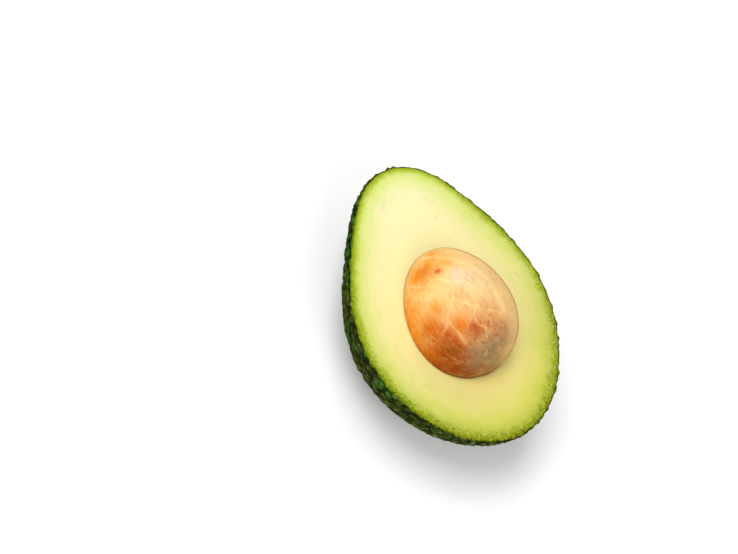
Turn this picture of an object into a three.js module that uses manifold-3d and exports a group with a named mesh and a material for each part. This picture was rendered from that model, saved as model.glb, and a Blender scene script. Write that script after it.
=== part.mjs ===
// Half an avocado with its seed, lying on its round back with the cut face up. Millimetres.
// +X runs along the fruit from the stem end to the blossom end and +Z points out of the cut face.
// The origin is on the surface that the fruit lies on, under the middle of its length.

import * as THREE from 'three';
import { mergeVertices } from 'three/addons/utils/BufferGeometryUtils.js';
import Module from 'manifold-3d';

const wasm = await Module();
wasm.setup();

// The fruit: its outline on the cut face is an ellipse, made fatter toward the blossom end and
// leaner at the flanks by a share of the cosine of its angle and of the cosine's higher powers
const LENGTH = 95;
const WIDTH = 70;
const OUTLINE_SHARES = [0.16, -0.25, 0, 0.2, -0.09];
const OUTLINE_SAMPLES = 200;

// The long axis bends to the -Y side, and is set over by as much so that the middle of the width
// lies on the X axis
const SIDE_BEND = 1;
const SIDE_BEND_SKEW = 0.5;
const SIDE_SHIFT = 1;

// Where it rests, the round back is pressed flat, and the pebbles fade in above the flat
const REST_FLAT_DEPTH = 0.6;
const REST_FADE_HEIGHT = 1.5;
const CUT_HEIGHT = WIDTH / 2 - REST_FLAT_DEPTH;

// The skin and its pebbles
const SKIN_THICKNESS = 1.2;
const PEBBLE_PITCH = 4.2;
const PEBBLE_HEIGHT = 0.65;
const GROOVE_DEPTH = 0.2;
const PEBBLE_REACH = 0.62 * PEBBLE_PITCH;
const PEBBLE_SMALLEST = 0.75;
const PEBBLE_LARGEST = 1.25;
const PEBBLE_JITTER = 0.3;
const PEBBLE_SEED = 2611;

// The seed: an egg, fatter toward the blossom end, its middle a little above the cut
const SEED_LENGTH = 42.5;
const SEED_WIDTH = 35;
const SEED_X = 4.3;
const SEED_Y = -0.6;
const SEED_RAISED = 2.5;
const SEED_EGG = 0.12;

// The button where the stem was, on the back just below the stem tip: a dished disc on a flat seat
const BUTTON_RADIUS = 4.5;
const BUTTON_RISE = 0.6;
const BUTTON_DISH = 0.35;
const BUTTON_EDGE = 0.5;
const BUTTON_SEAT_DEPTH = 0.7;
const BUTTON_FROM_TIP = 7.5;

// Meshes and the clearance between pieces that touch
const CLEARANCE = 0.3;
const SKIN_MESH = 1.55;
const FLESH_MESH = 4.5;
const SEED_RINGS = 20;
const SEED_SIDES = 32;
const BUTTON_SIDES = 20;

// The outline runs from the blossom tip to the stem tip as distance from the long axis over x
class FruitOutline extends THREE.Curve {
  constructor() {
    super();
    this.widest = 1;
    const samples = this.getPoints(OUTLINE_SAMPLES).map((point) => point.y);
    this.widest = Math.max(...samples) / (WIDTH / 2);
  }

  getPoint(t) {
    const cosine = Math.cos(Math.PI * t);
    const sine = Math.sqrt(1 - cosine * cosine);
    const shares = OUTLINE_SHARES.reduce((sum, share, i) => sum + share * cosine ** (i + 1), 1);
    return new THREE.Vector2(LENGTH / 2 * cosine, WIDTH / 2 * sine * shares / this.widest);
  }
}

const OUTLINE = new FruitOutline();
const OUTLINE_LENGTH = OUTLINE.getLength();
const BUTTON_ALONG = 1 - BUTTON_FROM_TIP / OUTLINE_LENGTH;

// How far the long axis lies to the side at x, most near the middle of the fruit
function sideBend(x) {
  const u = x / (LENGTH / 2);
  return SIDE_SHIFT - (SIDE_BEND + SIDE_BEND_SKEW * u) * (1 - u * u);
}

// A point of the back: along the outline (0 to 1), turned about the long axis (0 at the +Y rim,
// PI at the -Y rim) and moved out along the surface normal. The rest spot cuts it off flat.
function backPoint(along, turn, outward) {
  const point = OUTLINE.getPointAt(along);
  const tangent = OUTLINE.getTangentAt(along);
  const radius = Math.max(point.y - outward * tangent.x, 0);
  return new THREE.Vector3(
    point.x + outward * tangent.y,
    sideBend(point.x) + radius * Math.cos(turn),
    CUT_HEIGHT - radius * Math.sin(turn),
  );
}

// A repeatable stream of numbers from 0 to 1
function seededRandom(seed) {
  let state = seed;
  return () => {
    state = (Math.imul(state, 1664525) + 1013904223) >>> 0;
    return state / 2 ** 32;
  };
}

// Pebble centres lie in staggered rows round the back, packed as in a triangular net, each nudged
// and sized by chance
function pebbleCentres() {
  const random = seededRandom(PEBBLE_SEED);
  const rows = Math.round(OUTLINE_LENGTH / (PEBBLE_PITCH * Math.sqrt(0.75)));
  const centres = [];
  for (let row = 0; row <= rows; row++) {
    const radius = OUTLINE.getPointAt(row / rows).y;
    const count = Math.max(1, Math.round(Math.PI * radius / PEBBLE_PITCH));
    for (let i = -1; i <= count + 1; i++) {
      const along = (row + PEBBLE_JITTER * (2 * random() - 1)) / rows;
      const turn = (i + 0.5 * (row % 2) + PEBBLE_JITTER * (2 * random() - 1)) / count;
      const size = THREE.MathUtils.lerp(PEBBLE_SMALLEST, PEBBLE_LARGEST, random());
      const centre = backPoint(THREE.MathUtils.clamp(along, 0, 1), turn * Math.PI, 0);
      centres.push({ centre, size });
    }
  }
  return centres;
}

// The height of the relief over the smooth back: domes with grooves between them
function pebbleRelief(point, centres) {
  let dome = 0;
  for (const { centre, size } of centres) {
    const distance = point.distanceTo(centre) / (PEBBLE_REACH * size);
    dome = Math.max(dome, size * (1 - distance * distance));
  }
  return PEBBLE_HEIGHT * dome - GROOVE_DEPTH;
}

// The back as rows of points from tip to tip, each row running from rim to rim
function backRows(spacing, inset, outwardAt) {
  const rowCount = Math.round(OUTLINE_LENGTH / spacing);
  const rows = [];
  for (let row = 0; row <= rowCount; row++) {
    const along = row / rowCount;
    const steps = Math.round(Math.PI * OUTLINE.getPointAt(along).y / spacing);
    const points = [];
    for (let i = 0; i <= steps; i++) {
      const turn = steps ? Math.PI * i / steps : 0;
      const point = backPoint(along, turn, outwardAt(along, turn) - inset);
      point.z = i === 0 || i === steps ? CUT_HEIGHT : Math.max(point.z, inset);
      points.push(point);
    }
    rows.push(points);
  }
  return rows;
}

// Numbered points and triangles that grow into one closed mesh
class Surface {
  constructor() {
    this.positions = [];
    this.triangles = [];
  }

  addRow(points) {
    return points.map((point) => this.positions.push(...point.toArray()) / 3 - 1);
  }

  // Triangles between two rows of point numbers, which may differ in length
  joinRows(first, second) {
    let i = 0;
    let j = 0;
    while (i < first.length - 1 || j < second.length - 1) {
      const firstShare = (i + 1) / (first.length - 1 || 1);
      const secondShare = (j + 1) / (second.length - 1 || 1);
      const stepFirst = j === second.length - 1 || (i < first.length - 1 && firstShare <= secondShare);
      if (stepFirst) {
        this.triangles.push(first[i], first[i + 1], second[j]);
        i += 1;
      } else {
        this.triangles.push(first[i], second[j + 1], second[j]);
        j += 1;
      }
    }
  }

  // The rows of a back, facing out or in, which gives their rim as one closed loop
  addBack(rows, facesOut) {
    const numbered = rows.map((points) => this.addRow(points));
    for (let row = 0; row < numbered.length - 1; row++) {
      const pair = [numbered[row], numbered[row + 1]];
      this.joinRows(...(facesOut ? pair : pair.reverse()));
    }
    const left = numbered.map((row) => row[0]);
    const right = numbered.slice(1).map((row) => row[row.length - 1]).reverse();
    return [...left, ...right.slice(1), left[0]];
  }

  toGeometry() {
    const geometry = new THREE.BufferGeometry();
    geometry.setAttribute('position', new THREE.Float32BufferAttribute(this.positions, 3));
    geometry.setIndex(this.triangles);
    return geometry;
  }
}

// A closed mesh as a solid for cutting, and back
function toSolid(geometry) {
  const bare = geometry.clone();
  bare.deleteAttribute('normal');
  bare.deleteAttribute('uv');
  const merged = mergeVertices(bare);
  return new wasm.Manifold(new wasm.Mesh({
    numProp: 3,
    vertProperties: Float32Array.from(merged.getAttribute('position').array),
    triVerts: Uint32Array.from(merged.getIndex().array),
  }));
}

function fromSolid(solid) {
  const mesh = solid.getMesh();
  const geometry = new THREE.BufferGeometry();
  geometry.setAttribute('position', new THREE.BufferAttribute(mesh.vertProperties, 3));
  geometry.setIndex(new THREE.BufferAttribute(mesh.triVerts, 1));
  geometry.computeVertexNormals();
  return geometry;
}

function cutFrom(geometry, tool) {
  return fromSolid(toSolid(geometry).subtract(toSolid(tool)));
}

// Moves a shape made round the Y axis to the stem button's place, with Y along the surface normal
function placeAtButton(geometry) {
  const spot = backPoint(BUTTON_ALONG, Math.PI / 2, 0);
  const normal = backPoint(BUTTON_ALONG, Math.PI / 2, 1).sub(spot).normalize();
  geometry.applyQuaternion(new THREE.Quaternion().setFromUnitVectors(new THREE.Vector3(0, 1, 0), normal));
  return geometry.translate(spot.x, spot.y, spot.z);
}

// The room for the button: a round cutter whose flat end is the seat
function buttonSeat() {
  const radius = BUTTON_RADIUS + CLEARANCE;
  const cutter = new THREE.CylinderGeometry(radius, radius, 2 * BUTTON_SEAT_DEPTH, BUTTON_SIDES);
  return placeAtButton(cutter);
}

// The button: flat below, with a worn edge and a shallow dish on top
function buttonGeometry() {
  const bottom = CLEARANCE - BUTTON_SEAT_DEPTH;
  const profile = [
    new THREE.Vector2(0, bottom),
    new THREE.Vector2(BUTTON_RADIUS, bottom),
    new THREE.Vector2(BUTTON_RADIUS, BUTTON_RISE - BUTTON_EDGE),
    new THREE.Vector2(BUTTON_RADIUS - BUTTON_EDGE, BUTTON_RISE),
    new THREE.Vector2(BUTTON_RADIUS / 2, BUTTON_RISE - BUTTON_DISH),
    new THREE.Vector2(0, BUTTON_RISE - BUTTON_DISH),
  ];
  return placeAtButton(new THREE.LatheGeometry(profile, BUTTON_SIDES));
}

// The skin: a pebbled shell round the back, with a flat cut edge and a seat for the button
function skinGeometry() {
  const centres = pebbleCentres();
  const buttonSpot = backPoint(BUTTON_ALONG, Math.PI / 2, 0);
  const reliefAt = (along, turn) => {
    const point = backPoint(along, turn, 0);
    const offRest = THREE.MathUtils.smoothstep(point.z, 0, REST_FADE_HEIGHT);
    const offButton = THREE.MathUtils.smoothstep(
      point.distanceTo(buttonSpot), BUTTON_RADIUS, BUTTON_RADIUS + PEBBLE_PITCH / 2);
    return pebbleRelief(point, centres) * offRest * offButton;
  };
  const surface = new Surface();
  const outerRim = surface.addBack(backRows(SKIN_MESH, 0, reliefAt), true);
  const innerRim = surface.addBack(backRows(FLESH_MESH, SKIN_THICKNESS, () => 0), false);
  surface.joinRows(outerRim, innerRim);
  return cutFrom(surface.toGeometry(), buttonSeat());
}

// The seed, or the hollow that it sits in when it is grown by the clearance
function seedGeometry(grow) {
  const profile = [];
  for (let ring = 0; ring <= SEED_RINGS; ring++) {
    const angle = Math.PI * ring / SEED_RINGS;
    const axial = -Math.cos(angle) * (SEED_LENGTH / 2 + grow);
    const radius = Math.sin(angle) * (SEED_WIDTH / 2 + grow) * (1 - SEED_EGG * Math.cos(angle));
    profile.push(new THREE.Vector2(ring % SEED_RINGS ? radius : 0, axial));
  }
  const egg = new THREE.LatheGeometry(profile, SEED_SIDES);
  egg.rotateZ(-Math.PI / 2);
  return egg.translate(SEED_X, SEED_Y, CUT_HEIGHT + SEED_RAISED);
}

// The flesh: a solid half that fits the skin, flat on top, with the hollow of the seed
function fleshGeometry() {
  const surface = new Surface();
  const rim = surface.addBack(backRows(FLESH_MESH, SKIN_THICKNESS + CLEARANCE, () => 0), true);
  const middle = surface.addRow([new THREE.Vector3(SEED_X, SEED_Y, CUT_HEIGHT)]);
  surface.joinRows(rim, middle);
  return cutFrom(surface.toGeometry(), seedGeometry(CLEARANCE));
}

// A named piece in its own colour
function piece(name, geometry, color, roughness) {
  const material = new THREE.MeshStandardMaterial({ color, roughness, metalness: 0 });
  const mesh = new THREE.Mesh(geometry, material);
  mesh.name = name;
  return mesh;
}

const avocado = new THREE.Group();
avocado.name = 'avocado_half';
avocado.add(piece('skin', skinGeometry(), 0x2f3617, 0.45));
avocado.add(piece('flesh', fleshGeometry(), 0xf4efb4, 0.4));
avocado.add(piece('seed', seedGeometry(0), 0xd98a3c, 0.35));
avocado.add(piece('stem_button', buttonGeometry(), 0x6d5a3a, 0.85));

export default avocado;
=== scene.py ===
"""Half an avocado with its seed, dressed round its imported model.

Named lengths are in millimetres and turn into metres where a mesh is written.
+X runs from the stem end to the blossom end and +Z points out of the cut face.
"""

import logging
import math
from dataclasses import dataclass
from enum import Enum
from functools import cached_property, reduce

import bpy
import numpy as np
from bpy.types import Material, NodeTree, Object
from bpy.types import Node as TreeNode, NodeSocket as Socket
from mathutils import Matrix, Vector
from numpy import ndarray as Array


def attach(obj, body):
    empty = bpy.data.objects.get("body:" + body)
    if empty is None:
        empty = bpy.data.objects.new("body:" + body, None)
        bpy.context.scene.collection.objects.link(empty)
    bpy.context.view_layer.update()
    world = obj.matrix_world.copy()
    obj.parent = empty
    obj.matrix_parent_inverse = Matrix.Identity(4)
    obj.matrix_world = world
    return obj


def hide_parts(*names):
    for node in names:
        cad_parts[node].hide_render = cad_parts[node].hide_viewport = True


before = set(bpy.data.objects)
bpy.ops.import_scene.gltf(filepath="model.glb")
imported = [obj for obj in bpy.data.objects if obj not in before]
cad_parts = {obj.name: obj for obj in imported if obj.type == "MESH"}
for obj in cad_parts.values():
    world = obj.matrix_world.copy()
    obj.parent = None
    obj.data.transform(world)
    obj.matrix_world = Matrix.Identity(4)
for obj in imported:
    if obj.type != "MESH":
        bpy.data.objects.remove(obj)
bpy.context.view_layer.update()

log = logging.getLogger("avocado")
MM = 0.001
BODY = "root"
SHARP_FROM = math.radians(62)
Routes = tuple[tuple[tuple[float, float], ...], ...]


class Node(Enum):
    """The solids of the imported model, which are also its material slots."""

    SKIN = "skin"
    FLESH = "flesh"
    SEED = "seed"
    BUTTON = "stem_button"


class Facing(Enum):
    """Which way a lofted wall faces."""

    OUT = "out"
    IN = "in"


def smooth_step(values: Array, low: float, high: float) -> Array:
    """Returns 0 below low and 1 above high, with a smooth rise between."""
    t = np.clip((values - low) / (high - low), 0.0, 1.0)
    return t * t * (3.0 - 2.0 * t)


def round_half_up(value: float) -> int:
    """Returns the nearest whole number, with halves rounded up."""
    return math.floor(value + 0.5)


@dataclass(frozen=True)
class HalfShape:
    """The smooth form of the half: round about its long axis, and pear-like along it."""

    length: float = 95.0
    width: float = 70.0
    outline_shares: tuple[float, ...] = (0.16, -0.25, 0.0, 0.2, -0.09)
    side_bend: float = 1.0
    side_bend_skew: float = 0.5
    side_shift: float = 1.0
    rest_flat_depth: float = 0.6
    samples: int = 6001

    @cached_property
    def cut_height(self) -> float:
        """Height of the cut face over the surface that the half rests on."""
        return self.width / 2 - self.rest_flat_depth

    @cached_property
    def profile(self) -> tuple[Array, Array, Array]:
        """The outline from the blossom tip to the stem tip.

        Returns:
            The share of the outline's length, x, and distance from the long axis, at many points.
        """
        cosine = np.cos(np.linspace(0.0, np.pi, self.samples))
        shares = 1.0 + sum(share * cosine ** (i + 1) for i, share in enumerate(self.outline_shares))
        radius = np.sqrt(np.clip(1.0 - cosine**2, 0.0, 1.0)) * shares
        radius *= self.width / 2 / radius.max()
        x = self.length / 2 * cosine
        run = np.concatenate([[0.0], np.cumsum(np.hypot(np.diff(x), np.diff(radius)))])
        return run / run[-1], x, radius

    @cached_property
    def outline_length(self) -> float:
        """Length of the outline from tip to tip."""
        _, x, radius = self.profile
        return float(np.hypot(np.diff(x), np.diff(radius)).sum())

    def outline_at(self, along: Array) -> tuple[Array, ...]:
        """Returns x, radius, and the outline's direction in x and radius at shares of its length."""
        share, x, radius = self.profile
        step = 2e-4
        before, after = np.clip(along - step, 0, 1), np.clip(along + step, 0, 1)
        run_x = np.interp(after, share, x) - np.interp(before, share, x)
        run_radius = np.interp(after, share, radius) - np.interp(before, share, radius)
        run = np.hypot(run_x, run_radius)
        return np.interp(along, share, x), np.interp(along, share, radius), run_x / run, run_radius / run

    def bend_at(self, x: Array) -> Array:
        """Returns how far the long axis lies to the side at x."""
        u = x / (self.length / 2)
        return self.side_shift - (self.side_bend + self.side_bend_skew * u) * (1 - u * u)

    def back_points(self, along: Array, turn: Array, outward: Array) -> Array:
        """Points of the back.

        Args:
            along: Share of the outline from the blossom tip to the stem tip.
            turn: Angle about the long axis, 0 at the +Y rim and pi at the -Y rim.
            outward: Distance out of the smooth surface along its normal.

        Returns:
            An array of points.
        """
        x, radius, run_x, run_radius = self.outline_at(along)
        spread = np.maximum(radius - outward * run_x, 0.0)
        return np.stack([
            x + outward * run_radius,
            self.bend_at(x) + spread * np.cos(turn),
            self.cut_height - spread * np.sin(turn),
        ], axis=-1)

    def back_normals(self, along: Array, turn: Array) -> Array:
        """Returns the outward normals of the smooth back."""
        _, _, run_x, run_radius = self.outline_at(along)
        return np.stack([run_radius, -run_x * np.cos(turn), run_x * np.sin(turn)], axis=-1)

    def depth_under_skin(self, points: Array) -> Array:
        """Returns how deep points lie under the smooth surface of the back."""
        _, x, radius = self.profile
        x, radius = x[::20], radius[::20]
        across = np.hypot(points[:, 1] - self.bend_at(points[:, 0]), points[:, 2] - self.cut_height)
        return np.concatenate([
            np.sqrt((px[:, None] - x) ** 2 + (pr[:, None] - radius) ** 2).min(axis=1)
            for px, pr in zip(np.array_split(points[:, 0], 40), np.array_split(across, 40))
        ])


@dataclass(frozen=True)
class PebbleField:
    """The pebbles of the skin: staggered rows of domes, nudged and sized by chance."""

    shape: HalfShape
    pitch: float = 4.2
    jitter: float = 0.3
    seed: int = 2611
    reach: float = 0.62

    def centres(self) -> tuple[Array, Array]:
        """Returns the pebbles' centres and sizes."""
        state = self.seed

        def chance() -> float:
            """Returns the next number from 0 to 1 of a repeatable stream."""
            nonlocal state
            state = (state * 1664525 + 1013904223) % 2**32
            return state / 2**32

        rows = round_half_up(self.shape.outline_length / (self.pitch * math.sqrt(0.75)))
        along, turn, size = [], [], []
        for row in range(rows + 1):
            radius = float(self.shape.outline_at(np.array([row / rows]))[1][0])
            count = max(1, round_half_up(math.pi * radius / self.pitch))
            for i in range(-1, count + 2):
                along.append(min(max((row + self.jitter * (2 * chance() - 1)) / rows, 0.0), 1.0))
                turn.append((i + 0.5 * (row % 2) + self.jitter * (2 * chance() - 1)) / count * math.pi)
                size.append(0.75 + 0.5 * chance())
        centres = self.shape.back_points(np.array(along), np.array(turn), np.zeros(len(along)))
        return centres, np.array(size)

    def domes(self, points: Array) -> Array:
        """Returns the height of the domes at points, 0 in the grooves and about 1 on a top."""
        centres, size = self.centres()
        reach = self.reach * self.pitch * size
        heights = []
        for some in np.array_split(points, 60):
            distance = np.sqrt(((some[:, None] - centres[None]) ** 2).sum(axis=-1)) / reach
            heights.append((size * (1 - distance**2)).max(axis=1))
        return np.maximum(np.concatenate(heights), 0.0)


@dataclass(frozen=True)
class EggShape:
    """The seed's smooth form: an egg along X, fatter toward the blossom end."""

    shape: HalfShape
    length: float = 42.5
    width: float = 35.0
    x: float = 4.3
    y: float = -0.6
    raised: float = 2.5
    egg: float = 0.12

    @property
    def centre(self) -> Array:
        """The middle of the seed."""
        return np.array([self.x, self.y, self.shape.cut_height + self.raised])

    def radius_at(self, cosine: Array, grow: float = 0.0) -> Array:
        """Returns the distance of the surface from the seed's axis at a cosine of the polar angle."""
        sine = np.sqrt(np.clip(1 - cosine**2, 0, 1))
        return sine * (self.width / 2 + grow) * (1 + self.egg * cosine)

    def surface(self, polar: Array, turn: Array, grow: float = 0.0) -> Array:
        """Points of the surface.

        Args:
            polar: Angle from the blossom tip of the seed, in radians.
            turn: Angle about the seed's axis, 0 toward +Y and a quarter turn toward +Z.
            grow: Distance by which the egg is made larger.

        Returns:
            An array of points.
        """
        radius = self.radius_at(np.cos(polar), grow)
        axial = (self.length / 2 + grow) * np.cos(polar)
        local = np.stack([axial, radius * np.cos(turn), radius * np.sin(turn)], axis=-1)
        return self.centre + local

    def pocket_outline(self, grow: float, count: int = 720) -> tuple[Array, Array]:
        """The edge of the seed's hollow on the cut face, seen from the seed's middle.

        Args:
            grow: Distance from the seed to the wall of the hollow.
            count: Number of samples along each side.

        Returns:
            Directions in radians, rising, and the distance of the edge in each.
        """
        cosine = np.cos(np.linspace(0.0, np.pi, count))
        radius = self.radius_at(cosine, grow)
        keep = radius > self.raised
        x = (self.length / 2 + grow) * cosine[keep]
        y = np.sqrt(radius[keep] ** 2 - self.raised**2)
        x, y = np.concatenate([x, x[::-1]]), np.concatenate([y, -y[::-1]])
        angle = np.arctan2(y, x)
        order = np.argsort(angle)
        return angle[order], np.hypot(x, y)[order]

    def pocket_depth(self, x: Array, y: Array, grow: float) -> Array:
        """Returns how far the hollow's wall lies under the cut face, at places from its middle."""
        cosine = np.clip(x / (self.length / 2 + grow), -1, 1)
        radius = self.radius_at(cosine, grow)
        return np.maximum(np.sqrt(np.maximum(radius**2 - y**2, 0)) - self.raised, 0.0)


class Lofted:
    """Points and triangles that grow row by row into one mesh, with values kept at each point."""

    def __init__(self) -> None:
        """Starts with no points."""
        self.rows: list[Array] = []
        self.values: dict[str, list[Array]] = {}
        self.triangles: list[Array] = []
        self.count = 0

    def add_row(self, points: Array, closed: bool = False, **values: Array) -> Array:
        """Adds a row of points.

        Args:
            points: The points in order.
            closed: Whether the row runs back to its first point.
            **values: Named numbers or vectors, one for each point.

        Returns:
            The numbers of the points, with the first one again at the end of a closed row.
        """
        numbers = np.arange(self.count, self.count + len(points))
        self.rows.append(points)
        self.count += len(points)
        for name, numbers_kept in values.items():
            self.values.setdefault(name, []).append(np.asarray(numbers_kept, float))
        return np.append(numbers, numbers[0]) if closed and len(numbers) > 1 else numbers

    def join(self, first: Array, second: Array) -> None:
        """Fills between two rows, which may differ in length.

        Args:
            first: Point numbers of one row.
            second: Point numbers of the next row.
        """
        steps = len(first) - 1, len(second) - 1
        shares = np.concatenate([np.arange(1, n + 1) / n if n else np.zeros(0) for n in steps])
        on_first = np.arange(len(shares)) < steps[0]
        on_first = on_first[np.argsort(shares, kind="stable")]
        i = np.cumsum(on_first) - on_first
        j = np.cumsum(~on_first) - ~on_first
        ahead_i, ahead_j = np.minimum(i + 1, steps[0]), np.minimum(j + 1, steps[1])
        middle = np.where(on_first, first[ahead_i], second[ahead_j])
        self.triangles.append(np.stack([first[i], middle, second[j]], axis=-1))

    def join_all(self, rows: list[Array], facing: Facing) -> None:
        """Fills between each row and the next, facing out or in."""
        for first, second in zip(rows, rows[1:]):
            if facing is Facing.OUT:
                self.join(first, second)
            else:
                self.join(second, first)

    def to_object(self, name: str) -> Object:
        """Makes the mesh object.

        Args:
            name: The piece's name.

        Returns:
            The object, linked to the scene, in metres.
        """
        mesh = bpy.data.meshes.new(name)
        points = np.concatenate(self.rows) * MM
        faces = np.concatenate(self.triangles)
        mesh.from_pydata(points.tolist(), [], faces.tolist())
        for key, parts in self.values.items():
            data = np.concatenate(parts)
            kind, slot = ("FLOAT_VECTOR", "vector") if data.ndim == 2 else ("FLOAT", "value")
            mesh.attributes.new(key, kind, "POINT").data.foreach_set(slot, data.ravel())
        mesh.polygons.foreach_set("use_smooth", np.ones(len(faces), bool))
        mesh.validate()
        mesh.update()
        piece = bpy.data.objects.new(name, mesh)
        bpy.context.scene.collection.objects.link(piece)
        return piece


class NodeKit:
    """Short calls that add and link nodes in one node tree."""

    def __init__(self, tree: NodeTree) -> None:
        """Keeps the tree that the nodes go into."""
        self.tree = tree

    def give(self, socket: Socket, value: object) -> None:
        """Links an output to an input socket, or sets the input to a value."""
        if isinstance(value, Socket):
            self.tree.links.new(value, socket)
        else:
            socket.default_value = value

    def add(self, kind: str, inputs: dict | None = None, **settings: object) -> TreeNode:
        """Adds a node.

        Args:
            kind: The node's type name.
            inputs: Values or output sockets for its inputs, by socket name or number.
            **settings: Properties of the node.

        Returns:
            The node.
        """
        node = self.tree.nodes.new(kind)
        for key, value in settings.items():
            setattr(node, key, value)
        for key, value in (inputs or {}).items():
            self.give(node.inputs[key], value)
        return node

    def maths(self, operation: str, *values: object) -> Socket:
        """Returns the result of a Math node on numbers or sockets."""
        return self.add("ShaderNodeMath", dict(enumerate(values)), operation=operation).outputs[0]

    def times(self, *values: object) -> Socket:
        """Returns the product of numbers or sockets."""
        return reduce(lambda made, value: self.maths("MULTIPLY", made, value), values)

    def fused(self, value: object, factor: object, added: object) -> Socket:
        """Returns a value times a factor, plus a further value."""
        return self.maths("MULTIPLY_ADD", value, factor, added)

    def vector_maths(self, operation: str, *values: object) -> Socket:
        """Returns the vector result of a Vector Math node."""
        return self.add("ShaderNodeVectorMath", dict(enumerate(values)), operation=operation).outputs[0]

    def scaled(self, vector: object, amount: object) -> Socket:
        """Returns a vector times a number."""
        values = {"Vector": vector, "Scale": amount}
        return self.add("ShaderNodeVectorMath", values, operation="SCALE").outputs[0]

    def xyz(self, **parts: object) -> Socket:
        """Returns a vector put together from its named parts."""
        return self.add("ShaderNodeCombineXYZ", parts).outputs[0]

    def part(self, vector: Socket, name: str) -> Socket:
        """Returns one part of a vector, by its letter."""
        return self.add("ShaderNodeSeparateXYZ", {0: vector}).outputs[name]

    def place(self) -> Socket:
        """Returns the place on the object, in a material."""
        return self.add("ShaderNodeTexCoord").outputs["Object"]

    def noise(self, vector: object, scale: object, detail: object, roughness: float = 0.5,
              output: object = 0) -> Socket:
        """Returns noise that varies with a vector."""
        values = {"Vector": vector, "Scale": scale, "Detail": detail, "Roughness": roughness}
        return self.add("ShaderNodeTexNoise", values).outputs[output]

    def ranged(self, value: object, low: object, high: object, to_low: float = 0.0,
               to_high: float = 1.0) -> Socket:
        """Returns a value moved smoothly from one range to another and kept inside it."""
        return self.add("ShaderNodeMapRange", {
            "Value": value, "From Min": low, "From Max": high, "To Min": to_low, "To Max": to_high,
        }, interpolation_type="SMOOTHSTEP").outputs[0]

    def mixed(self, share: object, first: object, second: object, blend: str = "MIX") -> Socket:
        """Returns two colours mixed by a share."""
        return self.add("ShaderNodeMix", {0: share, 6: first, 7: second},
                        data_type="RGBA", blend_type=blend).outputs[2]

    def ramp(self, share: object, stops: tuple[tuple[float, tuple], ...]) -> Socket:
        """Returns a colour from a row of stops."""
        node = self.add("ShaderNodeValToRGB", {"Fac": share})
        elements = node.color_ramp.elements
        while len(elements) < len(stops):
            elements.new(1.0)
        for element, (place, colour) in zip(elements, stops):
            element.position = place
            element.color = colour
        return node.outputs[0]

    def stored(self, name: str) -> Socket:
        """Returns a number that the mesh keeps at its points, in a material."""
        return self.add("ShaderNodeAttribute", attribute_name=name).outputs["Fac"]

    def named(self, name: str, kind: str = "FLOAT") -> Socket:
        """Returns what the mesh keeps at its points, in a geometry tree."""
        node = self.add("GeometryNodeInputNamedAttribute", {"Name": name}, data_type=kind)
        return node.outputs["Attribute"]

    def store(self, geometry: Socket, name: str, value: Socket) -> Socket:
        """Returns geometry that also keeps a number at its points."""
        values = {"Geometry": geometry, "Name": name, "Value": value}
        return self.add("GeometryNodeStoreNamedAttribute", values, data_type="FLOAT",
                        domain="POINT").outputs[0]

    def moved(self, geometry: Socket, **place: Socket) -> Socket:
        """Returns geometry with its points set to a Position or shifted by an Offset."""
        return self.add("GeometryNodeSetPosition", {"Geometry": geometry, **place}).outputs[0]

    def group(self, tree: NodeTree, inputs: dict) -> TreeNode:
        """Returns a node that places a group with its own values."""
        return self.add("ShaderNodeGroup", inputs, node_tree=tree)


def srgb(red: int, green: int, blue: int) -> tuple[float, float, float, float]:
    """Returns a colour, given as on a screen from 0 to 255, in linear light."""
    def linear(value: float) -> float:
        """Returns one channel in linear light."""
        value /= 255.0
        return value / 12.92 if value <= 0.04045 else ((value + 0.055) / 1.055) ** 2.4

    return linear(red), linear(green), linear(blue), 1.0


class TreeKind(Enum):
    """The kinds of node tree, each with the type of its outputs."""

    SHADER = ("ShaderNodeTree", "NodeSocketFloat")
    GEOMETRY = ("GeometryNodeTree", "NodeSocketGeometry")


def new_group(name: str, kind: TreeKind, inputs: dict[str, object],
              *outputs: str) -> tuple[NodeKit, object, object]:
    """Starts a node group.

    Args:
        name: The group's name.
        kind: Whether it shades or makes geometry.
        inputs: The starting number of each named input, or its socket's type.
        *outputs: The names of its outputs.

    Returns:
        A kit for the tree, the sockets that give its inputs, and those that take its outputs.
    """
    tree_type, output_type = kind.value
    tree = bpy.data.node_groups.new(name, tree_type)
    for key, value in inputs.items():
        number = not isinstance(value, str)
        socket = tree.interface.new_socket(
            key, in_out="INPUT", socket_type="NodeSocketFloat" if number else value)
        if number:
            socket.default_value = value
    for key in outputs:
        tree.interface.new_socket(key, in_out="OUTPUT", socket_type=output_type)
    kit = NodeKit(tree)
    return kit, kit.add("NodeGroupInput").outputs, kit.add("NodeGroupOutput").inputs


def new_form(name: str, values: dict[str, object]) -> tuple[NodeKit, object, object]:
    """Starts a geometry tree that takes a mesh, named values and a material."""
    inputs = {"Geometry": "NodeSocketGeometry", **values, "Material": "NodeSocketMaterial"}
    return new_group(name, TreeKind.GEOMETRY, inputs, "Geometry")


def end_form(kit: NodeKit, given: object, out: object, geometry: Socket) -> NodeTree:
    """Ends a geometry tree with a plain mesh in the given material, and returns the tree."""
    whole = kit.add("GeometryNodeRealizeInstances", {"Geometry": geometry}).outputs[0]
    dressed = kit.add("GeometryNodeSetMaterial", {"Geometry": whole, "Material": given["Material"]})
    kit.give(out["Geometry"], dressed.outputs[0])
    return kit.tree


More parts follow.
